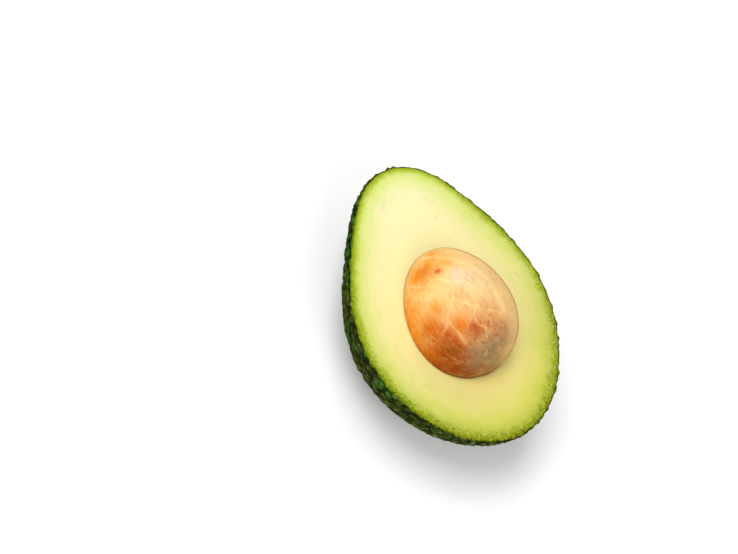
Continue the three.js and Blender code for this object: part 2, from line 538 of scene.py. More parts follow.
def run_tree(piece: Object, tree: NodeTree, values: dict[str, object]) -> Object:
    """Runs a geometry tree on a piece and keeps the result as its plain mesh.

    Args:
        piece: The object that the tree works on.
        tree: The geometry tree.
        values: A value for each named input.

    Returns:
        The piece, with the result as its mesh and no modifier.
    """
    modifier = piece.modifiers.new(tree.name, "NODES")
    modifier.node_group = tree
    sockets = {item.name: item.identifier for item in tree.interface.items_tree if item.in_out == "INPUT"}
    for key, value in values.items():
        modifier[sockets[key]] = value
    bpy.context.view_layer.update()
    depsgraph = bpy.context.evaluated_depsgraph_get()
    made = bpy.data.meshes.new_from_object(
        piece.evaluated_get(depsgraph), preserve_all_data_layers=True, depsgraph=depsgraph)
    piece.modifiers.remove(modifier)
    old = piece.data
    piece.data = made
    made.set_sharp_from_angle(angle=SHARP_FROM)
    bpy.data.meshes.remove(old)
    made.name = piece.name
    return piece


def mottle_group() -> NodeTree:
    """Builds the group of soft patches that every finish uses to vary its colour."""
    kit, given, out = new_group("mottle", TreeKind.SHADER, {
        "Size mm": 5.0, "Low": 0.4, "High": 0.6, "Detail": 3.0, "Shift": 0.0}, "Mask")
    moved = kit.vector_maths("ADD", kit.place(), kit.xyz(X=given["Shift"], Y=given["Shift"]))
    scale = kit.maths("DIVIDE", 1.0 / MM, given["Size mm"])
    noise = kit.noise(moved, scale, given["Detail"], 0.55)
    kit.give(out["Mask"], kit.ranged(noise, given["Low"], given["High"]))
    return kit.tree


def grain_group() -> NodeTree:
    """Builds the group of fine surface grain that every finish feeds to its bump."""
    kit, given, out = new_group("grain", TreeKind.SHADER, {"Size mm": 0.5, "Pores": 0.4}, "Height")
    place = kit.place()
    scale = kit.maths("DIVIDE", 1.0 / MM, given["Size mm"])
    cells = kit.add("ShaderNodeTexVoronoi", {"Vector": place, "Scale": scale})
    pores = kit.times(cells.outputs["Distance"], given["Pores"])
    kit.give(out["Height"], kit.maths("ADD", kit.noise(place, scale, 4.0), pores))
    return kit.tree


def blossom_ramp_group() -> NodeTree:
    """Builds the group that says how far along the half a place lies, 1 at the blossom end; the finishes
    use it for yellower tones and for painted light and shade.
    """
    kit, given, out = new_group("ripeness", TreeKind.SHADER, {
        "Start mm": -42.0, "End mm": 42.0, "Across": 0.2}, "Warm")
    place = kit.place()
    slant = kit.fused(kit.part(place, "Y"), given["Across"], kit.part(place, "X"))
    slant = kit.maths("DIVIDE", slant, MM)
    blossom_share = kit.add("ShaderNodeMapRange", {
        "Value": slant, "From Min": given["Start mm"], "From Max": given["End mm"]})
    kit.give(out["Warm"], blossom_share.outputs[0])
    return kit.tree


def granule_group() -> NodeTree:
    """Builds the group of coarse grains that the knife leaves in the green at the rim; the bright grains
    are lightened partly as painted glints.
    """
    kit, given, out = new_group("granules", TreeKind.SHADER, {"Size mm": 0.6}, "Dark", "Bright")
    noise = kit.noise(kit.place(), kit.maths("DIVIDE", 1.0 / MM, given["Size mm"]), 2.0, 0.6)
    kit.give(out["Dark"], kit.ranged(noise, 0.3, 0.48, 1.0, 0.0))
    kit.give(out["Bright"], kit.ranged(noise, 0.56, 0.7))
    return kit.tree


@dataclass(frozen=True)
class Groups:
    """The shader groups that the finishes share."""

    mottle: NodeTree
    grain: NodeTree
    ripeness: NodeTree
    granules: NodeTree


@dataclass(frozen=True)
class Cloud:
    """Soft patches: their size in millimetres, what noise they rise between, its detail and shift."""

    size: float
    low: float
    high: float
    detail: float = 3.0
    shift: float = 0.0


class Paint(NodeKit):
    """A kit for the nodes of one material, with the shared groups and its Principled shader."""

    def __init__(self, material: Material, groups: Groups) -> None:
        """Keeps the material's tree, its shader's inputs and the groups."""
        super().__init__(material.node_tree)
        self.groups = groups
        self.shader = material.node_tree.nodes["Principled BSDF"].inputs

    def patches(self, cloud: Cloud) -> Socket:
        """Returns the mask of soft patches."""
        values = {"Size mm": cloud.size, "Low": cloud.low, "High": cloud.high,
                  "Detail": cloud.detail, "Shift": cloud.shift}
        return self.group(self.groups.mottle, values).outputs["Mask"]

    def toward(self, start: float, end: float, least: float) -> Socket:
        """Returns a mask that rises from a least value to 1 along +Y, between places in millimetres."""
        return self.ranged(self.part(self.place(), "Y"), start * MM, end * MM, least, 1.0)

    def blossom_share(self) -> Socket:
        """Returns how far toward the blossom end a place lies, from 0 to 1."""
        return self.group(self.groups.ripeness, {}).outputs["Warm"]

    def tinted(self, colour: object, tint: object, *masks: object) -> Socket:
        """Returns a colour turned toward a tint by the product of masks."""
        return self.mixed(self.times(*masks), colour, tint)


@dataclass(frozen=True)
class Finish:
    """What every finish has: a name, its gloss, its fine grain, and the frame of its material."""

    groups: Groups
    name: str = "finish"
    coat: float = 0.0
    coat_roughness: float = 0.3
    specular: float = 0.5
    subsurface: float = 0.0
    subsurface_radius: tuple[float, float, float] = (1.0, 1.0, 1.0)
    rough: tuple[float, float] = (0.5, 0.7)
    rough_patches: Cloud = Cloud(2.5, 0.3, 0.7)
    grain_size: float = 0.5
    grain_pores: float = 0.3
    grain_depth: float = 0.05

    def start(self) -> tuple[Material, Paint]:
        """Returns a new material and a kit for its nodes."""
        material = bpy.data.materials.new(self.name)
        material.use_nodes = True
        kit = Paint(material, self.groups)
        for key, value in (
                ("Coat Weight", self.coat), ("Coat Roughness", self.coat_roughness),
                ("Specular IOR Level", self.specular), ("Subsurface Weight", self.subsurface),
                ("Subsurface Radius", self.subsurface_radius), ("Subsurface Scale", MM)):
            kit.shader[key].default_value = value
        return material, kit

    def end(self, kit: Paint, colour: Socket, raised: object = 0.0) -> None:
        """Feeds the shader its colour, its varied roughness and its relief.

        Args:
            colour: The colour.
            raised: A height on top of the fine grain, in millimetres.
        """
        kit.give(kit.shader["Base Color"], colour)
        rough = kit.patches(self.rough_patches)
        kit.give(kit.shader["Roughness"], kit.ranged(rough, 0.0, 1.0, *self.rough))
        grain = kit.group(self.groups.grain, {"Size mm": self.grain_size, "Pores": self.grain_pores})
        height = kit.fused(grain.outputs["Height"], self.grain_depth, raised)
        bump = kit.add("ShaderNodeBump", {"Height": height, "Distance": MM, "Strength": 1.0})
        kit.give(kit.shader["Normal"], bump.outputs[0])


@dataclass(frozen=True)
class SkinFinish(Finish):
    """Dark green pebbled peel with glossy tops, and the paler green of its cut edge."""

    name: str = "pebbled_peel"
    grain_size: float = 0.45
    grain_pores: float = 0.5
    olive_patches: Cloud = Cloud(14.0, 0.42, 0.6)
    leaf_patches: Cloud = Cloud(6.0, 0.46, 0.58, shift=0.25)
    brown_patches: Cloud = Cloud(20.0, 0.5, 0.66, shift=0.4)
    top_patches: Cloud = Cloud(3.0, 0.3, 0.6)
    speck_patches: Cloud = Cloud(0.7, 0.69, 0.74, 1.0, 0.9)
    wander_patches: Cloud = Cloud(1.8, 0.3, 0.7, shift=0.2)
    gloss_patches: Cloud = Cloud(1.8, 0.3, 0.55, shift=0.35)
    rough_patches: Cloud = Cloud(2.5, 0.3, 0.7, shift=0.6)
    specular: float = 0.0
    coat_roughness: float = 0.14
    deep_green: tuple = srgb(24, 40, 6)
    olive: tuple = srgb(52, 62, 10)
    leaf: tuple = srgb(36, 96, 12)
    brown: tuple = srgb(74, 50, 26)
    # painted shade in the grooves between pebbles
    groove_shade: tuple = srgb(16, 20, 6)
    # painted light: the peel is lightened toward the blossom end
    painted_blossom_light: tuple = srgb(72, 88, 24)
    # painted highlight on the pebble tops
    top: tuple = srgb(88, 102, 34)
    speck: tuple = srgb(150, 146, 76)
    cut_edge: tuple = (
        (0.0, srgb(78, 96, 8)), (0.15, srgb(100, 120, 10)), (0.4, srgb(122, 142, 18)),
        (0.7, srgb(140, 158, 28)), (1.0, srgb(156, 172, 42)),
    )
    edge_line: tuple = srgb(40, 46, 12)
    edge_width: float = 1.2
    # toward the blossom end: partly the edge's own yellower tone, partly painted shade
    edge_tone_and_shade: tuple = (0.74, 0.68, 0.38, 1.0)
    granule_dark: tuple = srgb(56, 54, 10)
    granule_bright_and_glint: tuple = srgb(176, 186, 84)

    def outside(self, kit: Paint, bump: Socket) -> Socket:
        """Returns the colour of the peel's outside, from the relief's height, with painted shade in the
        grooves, painted highlights on the pebble tops and painted light toward the blossom end.
        """
        green = kit.mixed(kit.patches(self.olive_patches), self.deep_green, self.olive)
        height = kit.part(kit.place(), "Z")
        near_cut = kit.ranged(height, 22 * MM, 32 * MM, 0.35, 0.95)
        leaf = kit.times(kit.patches(self.leaf_patches), near_cut)
        green = kit.mixed(leaf, green, self.leaf)
        browned = kit.times(kit.patches(self.brown_patches), 0.8)
        green = kit.mixed(browned, green, self.brown)
        # painted light: lighter peel toward the blossom end
        green = kit.tinted(green, self.painted_blossom_light, kit.blossom_share(), 0.6)
        # painted shade: the grooves between pebbles are darkened
        green = kit.mixed(kit.ranged(bump, 0.0, 0.55, 0.85, 0.0), green, self.groove_shade)
        # painted highlight: the pebble tops are lightened
        tops = kit.times(kit.ranged(bump, 0.55, 1.05), kit.patches(self.top_patches))
        green = kit.tinted(green, self.top, tops, 0.6)
        specks = kit.patches(self.speck_patches)
        return kit.mixed(kit.times(specks, 0.5), green, self.speck)

    def edge(self, kit: Paint, stored: Socket) -> Socket:
        """Returns the colour of the cut edge, from the depth under the outside, yellower and darker
        toward the blossom end: partly its own tone, partly painted shade.
        """
        blossom_share = kit.blossom_share()
        wander = kit.fused(kit.patches(self.wander_patches), 0.9, -0.45)
        ragged = kit.fused(blossom_share, 0.6, 0.4)
        depth = kit.fused(wander, ragged, stored)
        colour = kit.ramp(kit.maths("DIVIDE", depth, self.edge_width), self.cut_edge)
        line = kit.times(kit.ranged(stored, 0.35, 0.85, 0.9, 0.0),
                         kit.toward(-32.0, -12.0, 0.1), kit.fused(blossom_share, -0.75, 1.0))
        colour = kit.mixed(line, colour, self.edge_line)
        # partly the edge's own yellower tone, partly painted shade toward the blossom end
        colour = kit.mixed(blossom_share, colour, kit.mixed(1.0, colour, self.edge_tone_and_shade, "MULTIPLY"))
        granules = kit.group(self.groups.granules, {"Size mm": 0.9})
        strength = kit.fused(blossom_share, 0.3, 0.3)
        colour = kit.tinted(colour, self.granule_dark, granules.outputs["Dark"], strength)
        # paler grains, lightened partly as painted glints of moist cells
        return kit.mixed(kit.times(granules.outputs["Bright"], strength), colour,
                         self.granule_bright_and_glint)

    def material(self) -> Material:
        """Returns the material."""
        material, kit = self.start()
        bump, stored = kit.stored("bump"), kit.stored("skin_depth")
        on_edge = kit.ranged(stored, 0.05, 0.3)
        gloss = kit.times(kit.ranged(bump, 0.45, 1.0, 0.03, 0.5), kit.fused(kit.blossom_share(), 0.9, 0.5),
                          kit.patches(self.gloss_patches))
        colour = kit.mixed(on_edge, self.outside(kit, bump), self.edge(kit, stored))
        kit.give(kit.shader["Coat Weight"], kit.times(gloss, kit.ranged(stored, 0.1, 0.5, 1.0, 0.4)))
        self.end(kit, colour)
        return material


@dataclass(frozen=True)
class FleshFinish(Finish):
    """Firm ripe flesh: green under the skin, through lime, to pale butter yellow."""

    name: str = "butter_flesh"
    rough: tuple[float, float] = (0.42, 0.58)
    grain_size: float = 0.9
    grain_depth: float = 0.04
    granule_relief: float = 0.15
    granule_coat: float = 0.2
    wander_patches: Cloud = Cloud(3.0, 0.25, 0.75)
    wide_patches: Cloud = Cloud(16.0, 0.3, 0.7, shift=0.15)
    fleck_patches: Cloud = Cloud(2.0, 0.62, 0.74, shift=0.3)
    seam_patches: Cloud = Cloud(4.0, 0.1, 0.5, shift=0.45)
    rough_patches: Cloud = Cloud(1.5, 0.3, 0.7, shift=0.7)
    specular: float = 0.12
    coat_roughness: float = 0.18
    subsurface: float = 0.12
    subsurface_radius: tuple[float, float, float] = (2.0, 1.8, 0.8)
    by_depth: tuple = (
        (1.2, srgb(156, 172, 42)), (1.6, srgb(170, 186, 60)), (2.0, srgb(184, 198, 78)),
        (2.9, srgb(204, 215, 116)), (4.2, srgb(212, 219, 134)), (6.5, srgb(222, 223, 158)),
        (10.0, srgb(232, 225, 174)), (13.0, srgb(236, 228, 176)),
    )
    # tones toward the blossom end: partly the flesh's own yellowing, partly painted shade
    rim_tone_and_shade: tuple = (0.68, 0.66, 0.36, 1.0)
    deep_tone_and_shade: tuple = (0.86, 0.79, 0.4, 1.0)
    slower_when_warm: float = 0.36
    from_depth: float = 1.2
    rim_reach: float = 8.0
    fleck: tuple = srgb(168, 182, 64)
    strand: tuple = srgb(222, 222, 160)
    strand_width: float = 0.55
    strand_length: float = 3.5
    streak_width: float = 9.0
    streak_depth: float = 2.4
    granule_dark: tuple = srgb(88, 98, 14)
    granule_bright_and_glint: tuple = srgb(212, 218, 100)
    # thin brown line at the seed, darkened partly as painted shadow
    seam_line_and_shadow: tuple = srgb(186, 124, 56)

    def by_place(self, kit: Paint, stored: Socket) -> Socket:
        """Returns the flesh's colour from its depth and its place along the half: yellower and darker
        toward the blossom end, partly its own tone and partly painted shade.
        """
        blossom_share = kit.blossom_share()
        wander = kit.fused(kit.patches(self.wander_patches), 1.4, -0.7)
        wander = kit.times(wander, kit.fused(blossom_share, 0.6, 0.4))
        wide = kit.fused(kit.patches(self.wide_patches), 2.4, -1.2)
        shift = kit.fused(wide, kit.ranged(stored, self.from_depth, self.rim_reach, 0.15, 1.0), wander)
        pace = kit.fused(blossom_share, -self.slower_when_warm, 1.0)
        depth = kit.fused(kit.maths("SUBTRACT", stored, self.from_depth), pace, shift)
        depth = kit.maths("ADD", depth, self.from_depth)
        deepest = self.by_depth[-1][0]
        stops = tuple((depth_mm / deepest, colour) for depth_mm, colour in self.by_depth)
        colour = kit.ramp(kit.maths("DIVIDE", depth, deepest), stops)
        inner = kit.ranged(stored, self.from_depth, self.rim_reach)
        # partly the flesh's own yellowing, partly painted shade toward the blossom end
        tone = kit.mixed(inner, self.rim_tone_and_shade, self.deep_tone_and_shade)
        return kit.mixed(blossom_share, colour, kit.mixed(1.0, colour, tone, "MULTIPLY"))

    def streaks(self, kit: Paint, stored: Socket, width: float,
                depth: float) -> Socket:
        """Returns noise drawn out round the rim or inward, by its width and depth in millimetres."""
        around = kit.add("ShaderNodeAttribute", attribute_name="around").outputs["Vector"]
        inward = kit.xyz(Z=kit.maths("DIVIDE", stored, depth))
        return kit.noise(kit.vector_maths("ADD", kit.scaled(around, 1 / width), inward), 1.0, 2.0)

    def material(self) -> Material:
        """Returns the material."""
        material, kit = self.start()
        stored = kit.stored("flesh_depth")
        colour = self.by_place(kit, stored)
        flecks = kit.times(kit.patches(self.fleck_patches), 0.2)
        colour = kit.mixed(flecks, colour, self.fleck)
        layers = self.streaks(kit, stored, self.streak_width, self.streak_depth)
        between = kit.times(kit.ranged(stored, 3.0, 5.0), kit.ranged(stored, 9.0, 15.0, 1.0, 0.0))
        layered = kit.times(kit.ranged(layers, 0.5, 0.78, 0.0, 0.15), between)
        colour = kit.mixed(layered, colour, self.fleck)
        strands = self.streaks(kit, stored, self.strand_width, self.strand_length)
        near_rim = kit.ranged(stored, 2.0, 11.0, 0.14, 0.0)
        paler = kit.times(kit.ranged(strands, 0.56, 0.74), near_rim)
        colour = kit.mixed(paler, colour, self.strand)
        shades = kit.times(kit.ranged(strands, 0.26, 0.44, 1.0, 0.0), near_rim)
        colour = kit.mixed(shades, colour, self.fleck)
        granules = kit.group(self.groups.granules, {"Size mm": 0.8})
        rim = kit.times(kit.ranged(stored, 1.8, 4.2, 0.75, 0.0),
                        kit.fused(kit.blossom_share(), 0.65, 0.35))
        colour = kit.tinted(colour, self.granule_dark, granules.outputs["Dark"], rim)
        # paler grains, lightened partly as painted glints of moist cells
        bright_and_glint = kit.times(granules.outputs["Bright"], kit.times(rim, 0.6))
        colour = kit.mixed(bright_and_glint, colour, self.granule_bright_and_glint)
        # a thin brown line where flesh meets seed, darkened partly as painted shadow toward +Y
        seam_line_and_shadow = kit.times(kit.ranged(kit.stored("near_seed"), 0.15, 0.7, 0.9, 0.0),
                         kit.patches(self.seam_patches), kit.toward(-8.0, 8.0, 0.3))
        colour = kit.mixed(seam_line_and_shadow, colour, self.seam_line_and_shadow)
        relief = kit.maths("SUBTRACT", bright_and_glint, kit.times(granules.outputs["Dark"], rim))
        kit.give(kit.shader["Coat Weight"], kit.times(bright_and_glint, self.granule_coat))
        self.end(kit, colour, kit.times(relief, self.granule_relief))
        return material


@dataclass(frozen=True)
class SeedFinish(Finish):
    """Satin seed in a dry papery coat: tan, gold and rust, with an ashen patch that is partly painted
    shade, and pale veins.
    """

    name: str = "veined_seed"
    rough: tuple[float, float] = (0.4, 0.55)
    grain_size: float = 0.6
    grain_depth: float = 0.04
    fibre_relief: float = 0.12
    mottle_patches: Cloud = Cloud(2.4, 0.5, 0.72, 5.0, 0.11)
    speck_patches: Cloud = Cloud(1.0, 0.56, 0.68, 2.0, 0.08)
    vein_patches: Cloud = Cloud(3.5, 0.3, 0.6, shift=0.02)
    seam_patches: Cloud = Cloud(5.0, 0.1, 0.5, shift=0.05)
    rough_patches: Cloud = Cloud(3.0, 0.3, 0.7, shift=0.01)
    coat: float = 0.04
    coat_roughness: float = 0.3
    specular: float = 0.02
    subsurface: float = 0.03
    subsurface_radius: tuple[float, float, float] = (1.0, 0.5, 0.25)
    tan: tuple = srgb(236, 196, 124)
    gold: tuple = srgb(240, 142, 20)
    rust: tuple = srgb(180, 66, 2)
    umber: tuple = srgb(136, 66, 4)
    blush: tuple = srgb(206, 134, 79)
    # grey patch toward the blossom end: partly the coat's own grey, partly painted shade
    ash: tuple = srgb(140, 117, 84)
    # pale papery film; its strongest patch, on top, is a painted highlight
    film: tuple = srgb(226, 198, 166)
    vein: tuple = srgb(250, 220, 148)
    rusty_vein: tuple = srgb(242, 178, 94)
    speck: tuple = srgb(146, 72, 44)
    mottle: tuple = srgb(214, 140, 84)
    # thin brown line at the seed's edge, darkened partly as painted shadow
    seam_line_and_shadow: tuple = srgb(112, 62, 22)
    # painted shade toward the seed's outline as seen
    painted_outline_shade: tuple = srgb(140, 84, 28)
    painted_outline_shade_strength: float = 0.6
    seam_from: float = 34.9
    seam_to: float = 36.1
    fibre_size: float = 0.9
    fibre_stretch: float = 4.0

    def fibres(self, kit: Paint) -> Socket:
        """Returns fine noise drawn out along the seed, as the fibres of its papery coat."""
        place = kit.place()
        wander = kit.noise(place, 0.12 / MM, 1.0, output="Color")
        bent = kit.vector_maths("ADD", place, kit.scaled(wander, 6.0 * MM))
        stretched = kit.add("ShaderNodeMapping", {
            "Vector": bent, "Scale": (1 / self.fibre_stretch, 1.0, 1.0)}).outputs[0]
        return kit.noise(stretched, 1 / (self.fibre_size * MM), 4.0)

    def material(self) -> Material:
        """Returns the material."""
        material, kit = self.start()
        mottles = kit.patches(self.mottle_patches)
        colour = kit.mixed(kit.times(mottles, 0.35), self.tan, self.mottle)
        # the ash mark is partly painted shade and the film mark partly a painted highlight
        marks = (("gold", self.gold, 5.0), ("blush", self.blush, 3.5), ("rust", self.rust, 4.0),
                 ("umber", self.umber, 4.5), ("ash", self.ash, 3.0), ("film", self.film, 2.2))
        for turn, (name, tint, size) in enumerate(marks):
            cloud = kit.patches(Cloud(size, 0.2, 0.8, 6.0, 0.013 * turn))
            mask = kit.times(kit.stored(name), kit.fused(cloud, 0.8, 0.6))
            colour = kit.mixed(kit.maths("MINIMUM", mask, 1.0), colour, tint)
        fibres = self.fibres(kit)
        vein = kit.mixed(kit.stored("rust"), self.vein, self.rusty_vein)
        colour = kit.mixed(kit.ranged(fibres, 0.48, 0.7, 0.0, 0.12), colour, vein)
        colour = kit.mixed(kit.ranged(fibres, 0.3, 0.5, 0.2, 0.0), colour, self.rust)
        specks = kit.patches(self.speck_patches)
        near_ash = kit.times(specks, kit.ranged(kit.stored("speckled"), 0.1, 0.9, 0.0, 0.7))
        colour = kit.mixed(near_ash, colour, self.speck)
        broken = kit.patches(self.vein_patches)
        veins = kit.times(kit.stored("vein"), kit.fused(broken, 0.5, 0.5))
        colour = kit.mixed(veins, colour, vein)
        height = kit.part(kit.place(), "Z")
        # a thin brown line at the seed's edge just over the cut, darkened partly as painted shadow toward
        # +Y
        line = kit.times(kit.ranged(height, self.seam_from * MM, self.seam_to * MM, 0.9, 0.0),
                         kit.patches(self.seam_patches), kit.toward(-16.0, 0.0, 0.3))
        colour = kit.mixed(line, colour, self.seam_line_and_shadow)
        # painted shade: brown toward the outline, where the surface turns from view
        facing = kit.add("ShaderNodeLayerWeight", {"Blend": 0.5}).outputs["Facing"]
        colour = kit.mixed(kit.ranged(facing, 0.72, 0.97, 0.0, self.painted_outline_shade_strength), colour, self.painted_outline_shade)
        self.end(kit, colour, kit.times(fibres, self.fibre_relief))
        return material


@dataclass(frozen=True)
class CorkFinish(Finish):
    """Dry cork of the stem scar: straw yellow with a burnt orange edge."""

    name: str = "scar_cork"
    rough: tuple[float, float] = (0.6, 0.85)
    grain_size: float = 0.4
    grain_pores: float = 0.8
    grain_depth: float = 0.08
    crack_patches: Cloud = Cloud(1.0, 0.56, 0.66, 4.0)
    rough_patches: Cloud = Cloud(1.5, 0.3, 0.7, shift=0.5)
    specular: float = 0.3
    middle: tuple = srgb(236, 190, 92)
    edge: tuple = srgb(150, 74, 26)
    crack: tuple = srgb(92, 52, 24)

    def material(self) -> Material:
        """Returns the material."""
        material, kit = self.start()
        colour = kit.mixed(kit.ranged(kit.stored("rim"), 0.62, 0.95), self.middle, self.edge)
        cracks = kit.patches(self.crack_patches)
        colour = kit.tinted(colour, self.crack, cracks, 0.7)
        self.end(kit, colour)
        return material


@dataclass(frozen=True)
class FloorFinish(Finish):
    """Matt white sweep under the half."""

    name: str = "white_sweep"
    soft_patches: Cloud = Cloud(60.0, 0.3, 0.7)
    specular: float = 0.2
    tone: tuple = (0.95, 0.95, 0.95, 1.0)
    shade: tuple = (0.9, 0.9, 0.9, 1.0)
    roughness: float = 0.7

    def material(self) -> Material:
        """Returns the material."""
        material, kit = self.start()
        soft = kit.patches(self.soft_patches)
        colour = kit.mixed(kit.times(soft, 0.02), self.tone, self.shade)
        kit.give(kit.shader["Base Color"], colour)
        kit.give(kit.shader["Roughness"], self.roughness)
        return material


@dataclass
class Button:
    """The corky scar of the stem, on the back just below the stem tip."""

    shape: HalfShape
    radius: float = 4.5
    rise: float = 0.6
    dish: float = 0.4
    sunk: float = 0.9
    from_tip: float = 7.5
    ring_at: float = 0.84
    ring_width: float = 0.1
    worn_from: float = 0.9
    worn_drop: float = 0.45
    cracks: int = 9
    crack_depth: float = 0.18
    crack_width: float = 0.18
    ripple: float = 0.06
    spacing: float = 0.16

    @property
    def along(self) -> float:
        """Share of the outline at which the button sits."""
        return 1 - self.from_tip / self.shape.outline_length

    def frame(self) -> tuple[Array, Array, Array, Array]:
        """Returns the button's middle on the smooth back, two directions along it, and its normal."""
        along, turn = np.array([self.along]), np.array([math.pi / 2])
        spot = self.shape.back_points(along, turn, np.zeros(1))[0]
        normal = self.shape.back_normals(along, turn)[0]
        side = np.array([0.0, 1.0, 0.0])
        return spot, side, np.cross(normal, side), normal

    def build(self) -> Object:
        """Builds the disc: a worn edge, a shallow dish and fine radial cracks.

        Returns:
            The piece.
        """
        spot, side, other, normal = self.frame()
        loft = Lofted()
        rings = round_half_up(self.radius / self.spacing)
        rows = []
        profile = [(self.radius * i / rings, None) for i in range(rings + 1)]
        profile += [(self.radius, -0.3), (self.radius, -self.sunk), (0.0, -self.sunk)]
        for radius, fixed in profile:
            steps = max(1, round_half_up(2 * math.pi * radius / self.spacing))
            angle = 2 * math.pi * np.arange(steps) / steps
            share = radius / self.radius
            height = np.full(steps, fixed if fixed is not None else 0.0)
            if fixed is None:
                ring = math.exp(-(((share - self.ring_at) / self.ring_width) ** 2))
                worn = self.worn_drop * max(share - self.worn_from, 0) / (1 - self.worn_from)
                height += self.rise - self.dish + self.dish * ring - worn
                crack = np.abs(np.sin(self.cracks / 2 * angle + 1.3 * math.sin(5 * share)))
                height -= self.crack_depth * np.exp(-((crack / self.crack_width) ** 2)) * share
                height += self.ripple * np.sin(17 * angle + 9 * share) * np.sin(31 * share)
            across = radius * (1 + 0.025 * np.sin(3 * angle) + 0.02 * np.sin(7 * angle))
            flat = np.outer(across * np.cos(angle), side) + np.outer(across * np.sin(angle), other)
            points = spot + (flat + np.outer(height, normal))
            rows.append(loft.add_row(points, closed=True, rim=np.full(steps, share)))
        loft.join_all(rows, Facing.IN)
        return loft.to_object("stem_button_cork")


@dataclass
class Skin:
    """The peel: a pebbled shell with the narrow flat edge that the knife left."""

    shape: HalfShape
    pebbles: PebbleField
    button: Button
    thickness: float = 1.2
    spacing: float = 0.34
    wall_spacing: float = 1.1
    edge_depths: tuple[float, ...] = (0.1, 0.25, 0.5, 0.8)
    edge_round: float = 0.4
    edge_reach: float = 0.6
    relief_reach: float = 0.9
    edge_lift: float = 0.3
    pebble_height: float = 0.2
    groove_depth: float = 0.2
    knob_pitch: float = 1.9
    knob_height: float = 0.5
    knob_stretch: float = 1.3
    dimple_depth: float = 0.55
    dimple_reach: float = 8.0
    spokes: int = 22
    spoke_height: float = 0.3
    spoke_reach: float = 6.0
    spoke_from: tuple[float, float] = (4.2, 5.5)
    spoke_fade: tuple[float, float] = (0.5, 7.0)
    dimple_core: float = 3.0
    dome_calm: float = 0.6
    button_clear: tuple[float, float] = (-0.5, 2.1)
    rest_fade: float = 1.5

    def values_at(self, along: Array, turn: Array, share: float) -> dict[str, Array]:
        """What the relief needs to know at points of the back.

        Args:
            along: Share of the outline.
            turn: Angle about the long axis.
            share: How much of the relief these points take.

        Returns:
            Named values, one for each point.
        """
        points = self.shape.back_points(along, turn, np.zeros(len(along)))
        spot, side, other, _ = self.button.frame()
        away = points - spot
        distance = np.sqrt((away**2).sum(axis=1))
        angle = np.arctan2(away @ side, away @ other)
        rim = self.button.radius
        near = 1 - smooth_step(distance, rim, self.dimple_reach + self.spoke_reach)
        spokes = self.spoke_height * near * np.cos(self.spokes * angle + 2.0 * np.sin(3 * angle))
        spokes *= smooth_step(self.shape.cut_height - points[:, 2], *self.spoke_fade)
        dimple = self.dimple_depth * (1 - smooth_step(distance, self.dimple_core, self.dimple_reach))
        clear = smooth_step(distance, rim + self.button_clear[0], rim + self.button_clear[1])
        calm = smooth_step(points[:, 2], 0.0, self.rest_fade) * clear
        return {
            "dome": self.pebbles.domes(points) * (1 - self.dome_calm * near),
            "relief_share": calm * share,
            "extra": (spokes * smooth_step(distance, *self.spoke_from) - dimple) * share,
            "outward": self.shape.back_normals(along, turn),
        }

    def back_row(self, along: float, spacing: float) -> tuple[Array, Array]:
        """Returns the places of one row's points along the outline and round the back."""
        radius = float(self.shape.outline_at(np.array([along]))[1][0])
        steps = round_half_up(math.pi * radius / spacing)
        turn = np.pi * np.arange(steps + 1) / steps if steps else np.zeros(1)
        return np.full(len(turn), along), turn

    def add_outside(self, loft: Lofted) -> list[Array]:
        """Adds the pebbled outside and returns its rows."""
        count = round_half_up(self.shape.outline_length / self.spacing)
        rows = []
        for row in range(count + 1):
            along, turn = self.back_row(row / count, self.spacing)
            points = self.shape.back_points(along, turn, np.zeros(len(along)))
            points[[0, -1], 2] = self.shape.cut_height - self.edge_round
            values = self.values_at(along, turn, 1.0)
            still = np.zeros(len(along))
            rows.append(loft.add_row(points, skin_depth=still, lift=still, **values))
        loft.join_all(rows, Facing.OUT)
        return rows

    def add_edge(self, loft: Lofted, rim: Array) -> Array:
        """Adds the cut edge inward from the outer rim and returns its last ring."""
        count = (len(rim) - 1) // 2
        along = np.concatenate([np.arange(count + 1), np.arange(count - 1, 0, -1)]) / count
        turn = np.concatenate([np.zeros(count + 1), np.full(count - 1, np.pi)])
        last = rim
        for depth in self.edge_depths:
            points = self.shape.back_points(along, turn, np.full(len(along), -depth))
            rounded = self.edge_round * max(0.0, 1 - depth / self.edge_reach) ** 2
            points[:, 2] = self.shape.cut_height - rounded
            values = self.values_at(along, turn, max(0.0, 1 - depth / self.relief_reach))
            lift = np.full(len(along), self.edge_lift * MM * max(0.0, 1 - depth / self.thickness))
            ring = loft.add_row(points, closed=True, skin_depth=np.full(len(along), depth),
                                lift=lift, **values)
            loft.join(last, ring)
            last = ring
        return last

    def add_inside(self, loft: Lofted) -> Array:
        """Adds the inner wall and returns its rim."""
        count = round_half_up(self.shape.outline_length / self.wall_spacing)
        rows = []
        for row in range(count + 1):
            along, turn = self.back_row(row / count, self.wall_spacing)
            points = self.shape.back_points(along, turn, np.full(len(along), -self.thickness))
            points[:, 2] = np.maximum(points[:, 2], self.thickness)
            points[[0, -1], 2] = self.shape.cut_height
            still = np.zeros(len(along))
            rows.append(loft.add_row(points, skin_depth=still + self.thickness, dome=still,
                                     relief_share=still, extra=still, lift=still,
                                     outward=self.shape.back_normals(along, turn)))
        loft.join_all(rows, Facing.IN)
        return rim_of(rows)

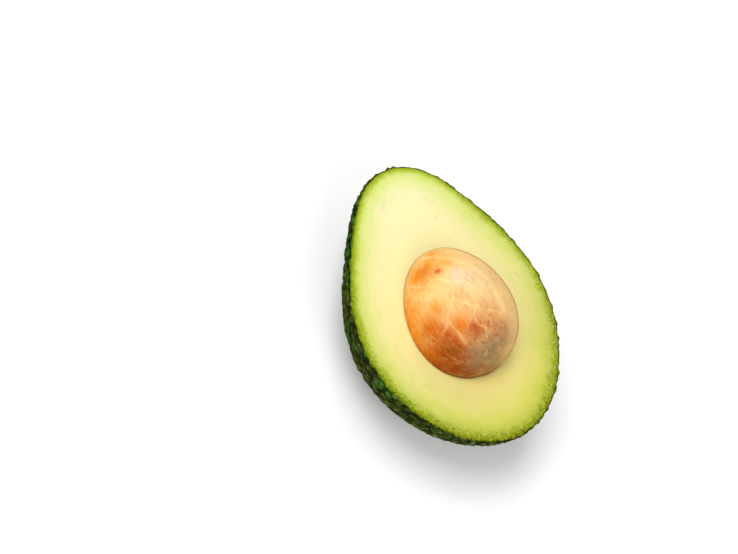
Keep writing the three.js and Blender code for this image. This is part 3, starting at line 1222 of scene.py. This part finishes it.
    def tree(self) -> NodeTree:
        """Builds the geometry tree that raises the pebbles and keeps the rest spot flat."""
        kit, given, out = new_form("pebbled_skin", {
            "Pebble Height": 0.0, "Groove Depth": 0.0, "Knob Pitch": 1.0, "Knob Height": 0.0,
            "Knob Stretch": 1.0})
        dome, share, extra, lift = map(kit.named, ("dome", "relief_share", "extra", "lift"))
        place = kit.add("GeometryNodeInputPosition").outputs[0]
        drawn_out = kit.xyz(X=kit.maths("DIVIDE", 1.0, given["Knob Stretch"]), Y=1.0, Z=1.0)
        warp = kit.noise(place, 0.3 / MM, 1.0, output="Color")
        warp = kit.scaled(kit.vector_maths("SUBTRACT", warp, (0.5, 0.5, 0.5)), 1.6 * MM)
        looked = kit.vector_maths("MULTIPLY", kit.vector_maths("ADD", place, warp), drawn_out)
        cells = kit.add("ShaderNodeTexVoronoi", {
            "Vector": looked, "Scale": kit.maths("DIVIDE", 1.0, given["Knob Pitch"]),
            "Smoothness": 0.2, "Randomness": 0.9}, feature="SMOOTH_F1")
        size = kit.fused(kit.part(cells.outputs["Color"], "X"), 0.7, 0.55)
        knob = kit.maths("POWER", kit.maths("DIVIDE", cells.outputs["Distance"], 0.62), 2.0)
        knob = kit.maths("MAXIMUM", kit.times(kit.maths("SUBTRACT", 1.0, knob), size), -0.15)
        relief = kit.fused(dome, given["Pebble Height"], kit.times(knob, given["Knob Height"]))
        relief = kit.times(kit.maths("SUBTRACT", relief, given["Groove Depth"]), share)
        bump = kit.times(knob, kit.fused(dome, 0.5, 0.6))
        kept = kit.store(given["Geometry"], "bump", bump)
        outward = kit.scaled(kit.named("outward", "FLOAT_VECTOR"), kit.fused(extra, MM, relief))
        upward = kit.xyz(Z=kit.times(kit.maths("SUBTRACT", knob, 0.4), lift))
        moved = kit.moved(kept, Offset=kit.vector_maths("ADD", outward, upward))
        place = kit.add("GeometryNodeInputPosition").outputs[0]
        above = kit.xyz(X=kit.part(place, "X"), Y=kit.part(place, "Y"),
                        Z=kit.maths("MAXIMUM", kit.part(place, "Z"), 0.0))
        return end_form(kit, given, out, kit.moved(moved, Position=above))

    def build(self, material: Material) -> Object:
        """Builds the peel.

        Args:
            material: Its finish.

        Returns:
            The piece.
        """
        loft = Lofted()
        rim = rim_of(self.add_outside(loft))
        ring = self.add_edge(loft, rim)
        loft.join(ring, self.add_inside(loft))
        piece = loft.to_object("pebbled_skin")
        return run_tree(piece, self.tree(), {
            "Pebble Height": self.pebble_height * MM, "Groove Depth": self.groove_depth * MM,
            "Knob Pitch": self.knob_pitch * MM, "Knob Height": self.knob_height * MM,
            "Knob Stretch": self.knob_stretch, "Material": material})


def rim_of(rows: list[Array]) -> Array:
    """Returns the rim of a back as one closed loop, from the blossom tip past +Y."""
    left = np.array([row[0] for row in rows])
    right = np.array([row[-1] for row in rows[1:-1]][::-1])
    return np.concatenate([left, right, left[:1]])


@dataclass
class Flesh:
    """The flesh: its cut face with the hollow of the seed, closed by the wall against the skin."""

    shape: HalfShape
    egg: EggShape
    skin: Skin
    spacing: float = 0.6
    face_rings: int = 60
    hollow_rings: int = 12
    hollow_gap: float = 0.03
    seam_open: float = 0.3
    seam_toward: float = 15.0
    lip_reach: float = 1.2
    lip_rise: float = 0.12
    wave_height: float = 0.12
    wave_size: float = 9.0
    seed_free: float = 9.0
    granule_height: float = 0.22
    granule_size: float = 1.6
    granule_fade: tuple[float, float] = (2.2, 4.5)
    ring_crowding: float = 1.4

    @property
    def rim_radius(self) -> float:
        """Radius of a circle as long as the rim, which gives each point its place round the rim."""
        return self.shape.outline_length / math.pi

    def outer_rows(self, loft: Lofted) -> list[Array]:
        """Adds the wall that lies against the skin and returns its rows."""
        count = round_half_up(self.shape.outline_length / self.spacing)
        inset = self.skin.thickness
        rows = []
        for row in range(count + 1):
            along, turn = self.skin.back_row(row / count, self.spacing)
            points = self.shape.back_points(along, turn, np.full(len(along), -inset))
            points[:, 2] = np.maximum(points[:, 2], inset)
            points[[0, -1], 2] = self.shape.cut_height
            still = np.zeros(len(along))
            a = np.pi * row / count
            around = self.rim_radius * np.stack([
                still + np.cos(a), np.sin(a) * np.cos(turn), np.sin(a) * np.sin(turn)], axis=-1)
            rows.append(loft.add_row(points, flesh_depth=still + inset, face=still, around=around,
                                     rim=still, near_seed=still + self.seed_free))
        loft.join_all(rows, Facing.OUT)
        return rows

    def build(self, material: Material) -> Object:
        """Builds the flesh.

        Args:
            material: Its finish.

        Returns:
            The piece.
        """
        loft = Lofted()
        rim = rim_of(self.outer_rows(loft))
        edge = np.concatenate(loft.rows)[rim[:-1]]
        middle = self.egg.centre * (1, 1, 0) + (0, 0, self.shape.cut_height)
        away = edge - middle
        angle = np.arctan2(away[:, 1], away[:, 0])
        directions, reach = self.egg.pocket_outline(self.hollow_gap)
        lip = np.interp(angle, directions, reach, period=2 * np.pi)
        opened = np.maximum(np.cos(angle - math.radians(self.seam_toward)), 0.0)
        lip += self.seam_open * opened * (0.7 + 0.3 * np.sin(9 * angle + 1.5 * np.sin(4 * angle)))
        toward = np.stack([np.cos(angle), np.sin(angle), np.zeros(len(angle))], axis=-1)
        outer = np.hypot(away[:, 0], away[:, 1])
        last = rim
        for ring in range(1, self.face_rings + 1):
            share = (ring / self.face_rings) ** self.ring_crowding
            distance = outer + (lip - outer) * share
            points = middle + toward * distance[:, None]
            inside = np.clip((distance - lip) / self.lip_reach, 0, 1)
            points[:, 2] += self.lip_rise * (1 - inside) ** 2
            last = self.add_ring(loft, points, distance - lip, 1.0, last)
        for ring in range(1, self.hollow_rings + 1):
            share = math.cos(0.5 * math.pi * ring / self.hollow_rings)
            around = toward * (lip * share)[:, None]
            depth = self.egg.pocket_depth(around[:, 0], around[:, 1], self.hollow_gap)
            points = middle + around
            points[:, 2] -= depth
            if ring == self.hollow_rings:
                points = points[:1]
            last = self.add_ring(loft, points, np.zeros(len(points)), 0.0, last)
        piece = loft.to_object("cut_flesh")
        return run_tree(piece, self.tree(), {
            "Wave Height": self.wave_height * MM, "Wave Size": self.wave_size * MM,
            "Granule Height": self.granule_height * MM, "Granule Size": self.granule_size * MM,
            "Material": material})

    def add_ring(self, loft: Lofted, points: Array, from_seed: Array, free: float,
                 last: Array) -> Array:
        """Adds one ring of the cut face or the hollow, filled to the last one.

        Args:
            loft: The mesh.
            points: The ring's points.
            from_seed: Their distance from the edge of the hollow.
            free: Whether the ring takes the waves of the cut face, 1 or 0.
            last: The ring before it.

        Returns:
            The numbers of the ring's points.
        """
        depth = self.shape.depth_under_skin(points)
        angle = 2 * np.pi * np.arange(len(points)) / len(points)
        around = self.rim_radius * np.stack([np.cos(angle), np.sin(angle), 0 * angle], axis=-1)
        inset = self.skin.thickness
        rim = smooth_step(depth, inset, inset + 0.5) * (1 - smooth_step(depth, *self.granule_fade))
        ring = loft.add_row(points, closed=True, flesh_depth=depth, around=around,
                            face=free * smooth_step(depth, inset, 3.0), rim=free * rim,
                            near_seed=from_seed)
        loft.join(last, ring)
        return ring

    def tree(self) -> NodeTree:
        """Builds the geometry tree that gives the cut face its slight waves."""
        kit, given, out = new_form("cut_face", {
            "Wave Height": 0.0, "Wave Size": 1.0, "Granule Height": 0.0, "Granule Size": 1.0})
        place = kit.add("GeometryNodeInputPosition").outputs[0]
        waves = []
        for key, kind, middle in (("face", "Wave", 0.55), ("rim", "Granule", 0.5)):
            noise = kit.noise(place, kit.maths("DIVIDE", 1.0, given[f"{kind} Size"]), 2.0)
            height = kit.maths("SUBTRACT", noise, middle)
            waves.append(kit.times(height, given[f"{kind} Height"], kit.named(key)))
        lift = kit.xyz(Z=kit.maths("ADD", *waves))
        return end_form(kit, given, out, kit.moved(given["Geometry"], Offset=lift))


@dataclass
class Seed:
    """The seed: a satin egg with raised veins, patches of colour and a small nib."""

    egg: EggShape
    spacing: float = 0.34
    lump_height: float = 0.35
    vein_width: float = 0.36
    band_width: float = 0.9
    fine_width: float = 0.17
    vein_rise: float = 0.06
    branch_seed: int = 91
    branches: int = 110
    veins: Routes = (
        ((131, 182), (126, 168), (119, 151), (118, 139), (117, 128), (112, 115), (104, 100), (93, 90)),
        ((97, 117), (89, 125), (83, 131), (76, 133), (68, 131), (61, 130), (55, 128)),
        ((83, 131), (78, 136), (76, 142), (72, 147)),
        ((94, 117), (88, 112), (82, 104), (77, 95), (72, 84), (68, 77)),
        ((82, 104), (76, 108), (72, 114), (69, 119)),
        ((76, 108), (69, 106), (62, 102)),
        ((150, 38), (134, 30), (116, 25), (100, 22), (84, 18), (68, 20), (52, 28)),
        ((100, 22), (90, 12), (78, 4), (64, 0)), ((84, 18), (74, 28), (66, 40)),
    )
    bands: Routes = (
        ((154, 143), (146, 118), (135, 100), (127, 89), (118, 80), (108, 75), (95, 73), (80, 73),
         (70, 72)),
        ((150, 70), (138, 66), (124, 58), (108, 52)),
    )
    creases: Routes = (
        ((103, 167), (91, 166), (80, 165), (70, 163), (58, 158), (46, 149)),
        ((113, 182), (99, 178), (87, 176), (75, 172), (65, 170), (53, 168), (42, 166)),
        ((108, 174), (96, 171), (84, 170), (72, 168), (60, 165), (48, 160), (38, 152)),
        ((98, 163), (88, 161), (78, 158), (66, 152), (56, 145), (46, 136)),
        ((110, 178), (92, 173), (78, 170), (66, 166), (54, 162), (44, 155), (34, 142)),
        ((140, 150), (144, 130), (138, 108), (128, 92), (116, 82), (104, 76)),
        ((126, 165), (122, 148), (121, 134), (118, 120), (110, 106), (101, 95), (94, 84)),
    )
    patches: tuple[tuple[str, tuple[tuple[float, ...], ...]], ...] = (
        ("gold", ((130, 152, 16, 0.95), (138, 128, 14, 0.85), (133, 104, 8, 0.75), (152, 118, 9, 0.7),
                  (98, 184, 23, 0.95), (80, 178, 22, 1.0), (73, 124, 9, 0.95), (93, 141, 9, 0.66),
                  (84, 157, 14, 0.97), (62, 172, 28, 1.0), (72, 8, 20, 0.6), (122, 20, 16, 0.5))),
        ("rust", ((125, 122, 3, 0.95), (131, 140, 9, 0.45), (63, 115, 9, 1.0), (67, 148, 19, 1.0),
                  (84, 157, 9, 0.54), (51, 150, 23, 1.0), (50, 178, 20, 0.85), (72, 184, 10, 0.33),
                  (34, 160, 20, 0.95), (58, 16, 11, 0.5), (106, 4, 9, 0.35))),
        ("umber", ((30, 166, 27, 0.78), (54, 152, 13, 0.8), (48, 190, 18, 0.55), (14, 120, 16, 0.62))),
        ("blush", ((102, 64, 11, 0.2), (93, 112, 9, 0.4), (66, 98, 18, 0.95), (56, 86, 14, 1.0),
                   (98, 14, 18, 0.6))),
        # ash: partly the coat's own grey, partly painted shade toward the blossom end
        ("ash", ((38, 104, 16, 0.85), (32, 126, 12, 0.7), (44, 84, 14, 0.6), (46, 126, 9, 0.55),
                 (22, 96, 14, 0.45))),
        # film: pale papery film; its strongest patch, on top, is a painted highlight
        ("film", ((111, 100, 11, 0.9), (104, 84, 20, 0.46), (64, 62, 11, 0.15), (23, -8, 5, 1.0),
                  (84, 30, 9, 0.5))),
        ("speckled", ((60, 100, 17, 1.0), (46, 112, 18, 0.8))),
    )
    nib_polar: float = 23.0
    nib_turn: float = -8.0
    nib_reach: float = 1.3
    nib_height: float = 0.8

    def on_surface(self, polar: Array, turn: Array) -> Array:
        """Returns points of the smooth seed at angles in degrees."""
        return self.egg.surface(np.radians(polar), np.radians(turn))

    def smooth_path(self, stops: tuple[tuple[float, float], ...], per_stop: int = 10) -> Array:
        """Returns a smooth path over the seed through stops given in degrees."""
        route = np.array(stops, float)
        route = np.vstack([2 * route[0] - route[1], route, 2 * route[-1] - route[-2]])
        t = np.linspace(0, 1, per_stop, endpoint=False)[:, None]
        parts = []
        for a, b, c, d in zip(route, route[1:], route[2:], route[3:]):
            parts.append(0.5 * (2 * b + (c - a) * t + (2 * a - 5 * b + 4 * c - d) * t**2
                                + (3 * b - a - 3 * c + d) * t**3))
        path = np.vstack(parts + [route[-2:-1]])
        return self.on_surface(path[:, 0], path[:, 1])

    def branch_paths(self) -> list[Array]:
        """Returns fine veins that wander over the whole seed."""
        draw = np.random.default_rng(self.branch_seed)
        paths = [self.smooth_path(stops) for stops in self.creases]
        for _ in range(self.branches):
            start = np.array([draw.uniform(35, 150), draw.uniform(0, 360)])
            heading = draw.uniform(0, 2 * np.pi)
            stops = [tuple(start)]
            for _ in range(draw.integers(4, 8)):
                heading += draw.normal(0, 0.4)
                start = start + 5.0 * np.array([np.cos(heading), np.sin(heading)])
                stops.append(tuple(start))
            paths.append(self.smooth_path(tuple(stops), 6))
        return paths

    def path_object(self, name: str, paths: list[Array]) -> Object:
        """Returns a helper object of plain edges along paths."""
        points, edges = [], []
        for path in paths:
            first = len(points)
            points += (path * MM).tolist()
            edges += [(first + i, first + i + 1) for i in range(len(path) - 1)]
        mesh = bpy.data.meshes.new(name)
        mesh.from_pydata(points, edges, [])
        helper = bpy.data.objects.new(name, mesh)
        bpy.context.scene.collection.objects.link(helper)
        return helper

    def masks(self, points: Array) -> dict[str, Array]:
        """Returns the strength of each patch colour at points."""
        made = {}
        for mask, spots in self.patches:
            made[mask] = np.zeros(len(points))
            for polar, turn, radius, strength in spots:
                middle = self.on_surface(np.array([polar]), np.array([turn]))[0]
                reach = math.radians(radius) * self.egg.length / 2
                distance = np.sqrt(((points - middle) ** 2).sum(axis=1)) / reach
                made[mask] = np.maximum(made[mask], strength * np.exp(-(distance**2)))
        return made

    def tree(self) -> NodeTree:
        """Builds the geometry tree that raises lumps and veins and marks the veins for colour."""
        kit, given, out = new_form("veined_seed", {
            "Veins": "NodeSocketObject", "Bands": "NodeSocketObject", "Fine Veins": "NodeSocketObject",
            "Vein Width": 1.0, "Band Width": 1.0, "Fine Width": 1.0, "Vein Rise": 0.0,
            "Lump Height": 0.0})
        place = kit.add("GeometryNodeInputPosition").outputs[0]
        wobble = kit.noise(place, 0.22 / MM, 4.0, output="Color")
        wobble = kit.scaled(kit.vector_maths("SUBTRACT", wobble, (0.5, 0.5, 0.5)), 2.4 * MM)
        looked = kit.vector_maths("ADD", place, wobble)
        strengths = []
        for source, width, most in (("Veins", "Vein Width", 0.55), ("Bands", "Band Width", 0.5),
                                    ("Fine Veins", "Fine Width", 0.3)):
            path = kit.add("GeometryNodeObjectInfo", {"Object": given[source]})
            near = kit.add("GeometryNodeProximity", {
                "Geometry": path.outputs["Geometry"], "Sample Position": looked}, target_element="EDGES")
            share = kit.maths("DIVIDE", near.outputs["Distance"], given[width])
            share = kit.maths("EXPONENT", kit.times(kit.maths("POWER", share, 2.0), -1.0))
            strengths.append(kit.times(share, most))
        vein = kit.maths("MAXIMUM", kit.maths("MAXIMUM", *strengths[:2]), strengths[2])
        kept = kit.store(given["Geometry"], "vein", vein)
        lump = kit.maths("SUBTRACT", kit.noise(place, 0.085 / MM, 2.0), 0.5)
        rise = kit.fused(vein, given["Vein Rise"], kit.times(lump, given["Lump Height"]))
        rise = kit.fused(rise, kit.named("free"), kit.named("nib"))
        offset = kit.scaled(kit.add("GeometryNodeInputNormal").outputs[0], rise)
        return end_form(kit, given, out, kit.moved(kept, Offset=offset))

    def build(self, material: Material) -> Object:
        """Builds the seed.

        Args:
            material: Its finish.

        Returns:
            The piece.
        """
        angles = np.linspace(0, np.pi, 2001)
        profile = self.egg.surface(angles, np.zeros(len(angles)))
        run = np.concatenate([[0.0], np.cumsum(np.sqrt((np.diff(profile, axis=0) ** 2).sum(axis=1)))])
        count = round_half_up(run[-1] / self.spacing)
        polars = np.interp(np.linspace(0, run[-1], count + 1), run, angles)
        nib = self.on_surface(np.array([self.nib_polar]), np.array([self.nib_turn]))[0]
        loft = Lofted()
        rows = []
        for polar in polars:
            radius = float(self.egg.radius_at(np.cos(np.array([polar])))[0])
            steps = max(1, round_half_up(2 * math.pi * radius / self.spacing))
            turn = 2 * np.pi * np.arange(steps) / steps
            points = self.egg.surface(np.full(steps, polar), turn)
            away = np.sqrt(((points - nib) ** 2).sum(axis=1)) / self.nib_reach
            over_cut = points[:, 2] - self.egg.shape.cut_height
            rows.append(loft.add_row(points, closed=True, nib=self.nib_height * MM * np.exp(-(away**2)),
                                     free=smooth_step(over_cut, -0.5, 2.5), **self.masks(points)))
        loft.join_all(rows, Facing.IN)
        piece = loft.to_object("veined_seed")
        main = self.path_object("vein_paths", [self.smooth_path(vein) for vein in self.veins])
        bands = self.path_object("band_paths", [self.smooth_path(band) for band in self.bands])
        fine = self.path_object("fine_vein_paths", self.branch_paths())
        run_tree(piece, self.tree(), {
            "Veins": main, "Bands": bands, "Fine Veins": fine,
            "Vein Width": self.vein_width * MM, "Band Width": self.band_width * MM,
            "Fine Width": self.fine_width * MM, "Vein Rise": self.vein_rise * MM,
            "Lump Height": self.lump_height * MM, "Material": material})
        for helper in (main, bands, fine):
            bpy.data.objects.remove(helper)
        return piece


@dataclass(frozen=True)
class Lamp:
    """A square soft light: its direction and distance from the cut face, its side, and its watts."""

    name: str
    toward: tuple[float, float, float]
    distance: float
    size: float
    watts: float


@dataclass
class Studio:
    """The white sweep, the soft lights and the camera at the photograph's angle."""

    shape: HalfShape
    lens: float = 84.68
    camera_from_cut: tuple[float, float, float] = (74.8, -280.2, 465.2)
    look_azimuth: float = 19.49
    look_elevation: float = 59.56
    roll: float = 47.46
    floor_size: float = 9000.0
    world_strength: float = 0.42
    lamps: tuple[Lamp, ...] = (
        Lamp("key_softbox", (-0.3, -0.28, 0.91), 2500, 1200, 33.5),
        Lamp("window_softbox", (-0.674, 0.2, 0.712), 2000, 600, 5.5),
        Lamp("front_softbox", (0.62, -0.2, 0.76), 2000, 1100, 10.5),
        Lamp("left_softbox", (-0.3, -0.78, 0.55), 2000, 1100, 9.0),
    )

    def camera(self) -> None:
        """Places the camera and makes it the scene's."""
        data = bpy.data.cameras.new("photo_camera")
        data.lens = self.lens
        data.sensor_width = 36.0
        data.clip_start, data.clip_end = 0.01, 20.0
        camera = bpy.data.objects.new("photo_camera", data)
        bpy.context.scene.collection.objects.link(camera)
        azimuth, elevation = math.radians(self.look_azimuth), math.radians(self.look_elevation)
        back = Vector((math.sin(azimuth) * math.cos(elevation), -math.cos(azimuth) * math.cos(elevation),
                       math.sin(elevation)))
        turned = (-back).to_track_quat("-Z", "Y").to_matrix() @ Matrix.Rotation(
            math.radians(self.roll), 3, "Z")
        place = Vector(self.camera_from_cut) + Vector((0, 0, self.shape.cut_height))
        camera.matrix_world = Matrix.Translation(place * MM) @ turned.to_4x4()
        bpy.context.scene.camera = camera

    def hang(self, lamp: Lamp) -> None:
        """Hangs a light that faces the middle of the cut face."""
        data = bpy.data.lights.new(lamp.name, "AREA")
        data.size = lamp.size * MM
        data.energy = lamp.watts
        light = bpy.data.objects.new(lamp.name, data)
        bpy.context.scene.collection.objects.link(light)
        middle = Vector((0, 0, self.shape.cut_height)) * MM
        light.location = middle + Vector(lamp.toward).normalized() * lamp.distance * MM
        light.rotation_mode = "QUATERNION"
        light.rotation_quaternion = (middle - light.location).to_track_quat("-Z", "Y")

    def floor(self, material: Material) -> None:
        """Lays the sweep, a flat sheet too wide to see its edges."""
        loft = Lofted()
        half = self.floor_size / 2
        rows = []
        for x in np.linspace(-half, half, 9):
            y = np.linspace(-half, half, 9)
            rows.append(loft.add_row(np.stack([np.full(9, x), y, np.full(9, -0.02)], axis=-1)))
        loft.join_all(rows, Facing.IN)
        floor = loft.to_object("white_floor")
        floor.data.materials.append(material)

    def build(self, material: Material) -> None:
        """Sets up the whole studio.

        Args:
            material: The finish of the sweep.
        """
        self.floor(material)
        self.camera()
        for lamp in self.lamps:
            self.hang(lamp)
        world = bpy.data.worlds.new("soft_room")
        world.use_nodes = True
        background = world.node_tree.nodes["Background"].inputs
        background["Color"].default_value = (1.0, 1.0, 1.0, 1.0)
        background["Strength"].default_value = self.world_strength
        scene = bpy.context.scene
        scene.world = world
        scene.view_settings.view_transform = "Standard"
        scene.view_settings.look = "None"


def keep(piece: Object, node: Node) -> None:
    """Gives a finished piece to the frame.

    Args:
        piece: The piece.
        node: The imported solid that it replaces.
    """
    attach(piece, BODY)
    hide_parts(node.value)
    log.info("%s: %d faces", piece.name, len(piece.data.polygons))


def main() -> None:
    """Builds every piece in order, then the studio."""
    logging.basicConfig(level=logging.INFO, format="%(name)s: %(message)s")
    groups = Groups(mottle_group(), grain_group(), blossom_ramp_group(), granule_group())
    shape = HalfShape()
    egg = EggShape(shape)
    button = Button(shape)
    skin = Skin(shape, PebbleField(shape), button)

    keep(skin.build(SkinFinish(groups).material()), Node.SKIN)
    keep(Flesh(shape, egg, skin).build(FleshFinish(groups).material()), Node.FLESH)
    keep(Seed(egg).build(SeedFinish(groups).material()), Node.SEED)
    cork = button.build()
    cork.data.materials.append(CorkFinish(groups).material())
    keep(cork, Node.BUTTON)

    Studio(shape).build(FloorFinish(groups).material())
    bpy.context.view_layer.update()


if __name__ == "__main__":
    main()
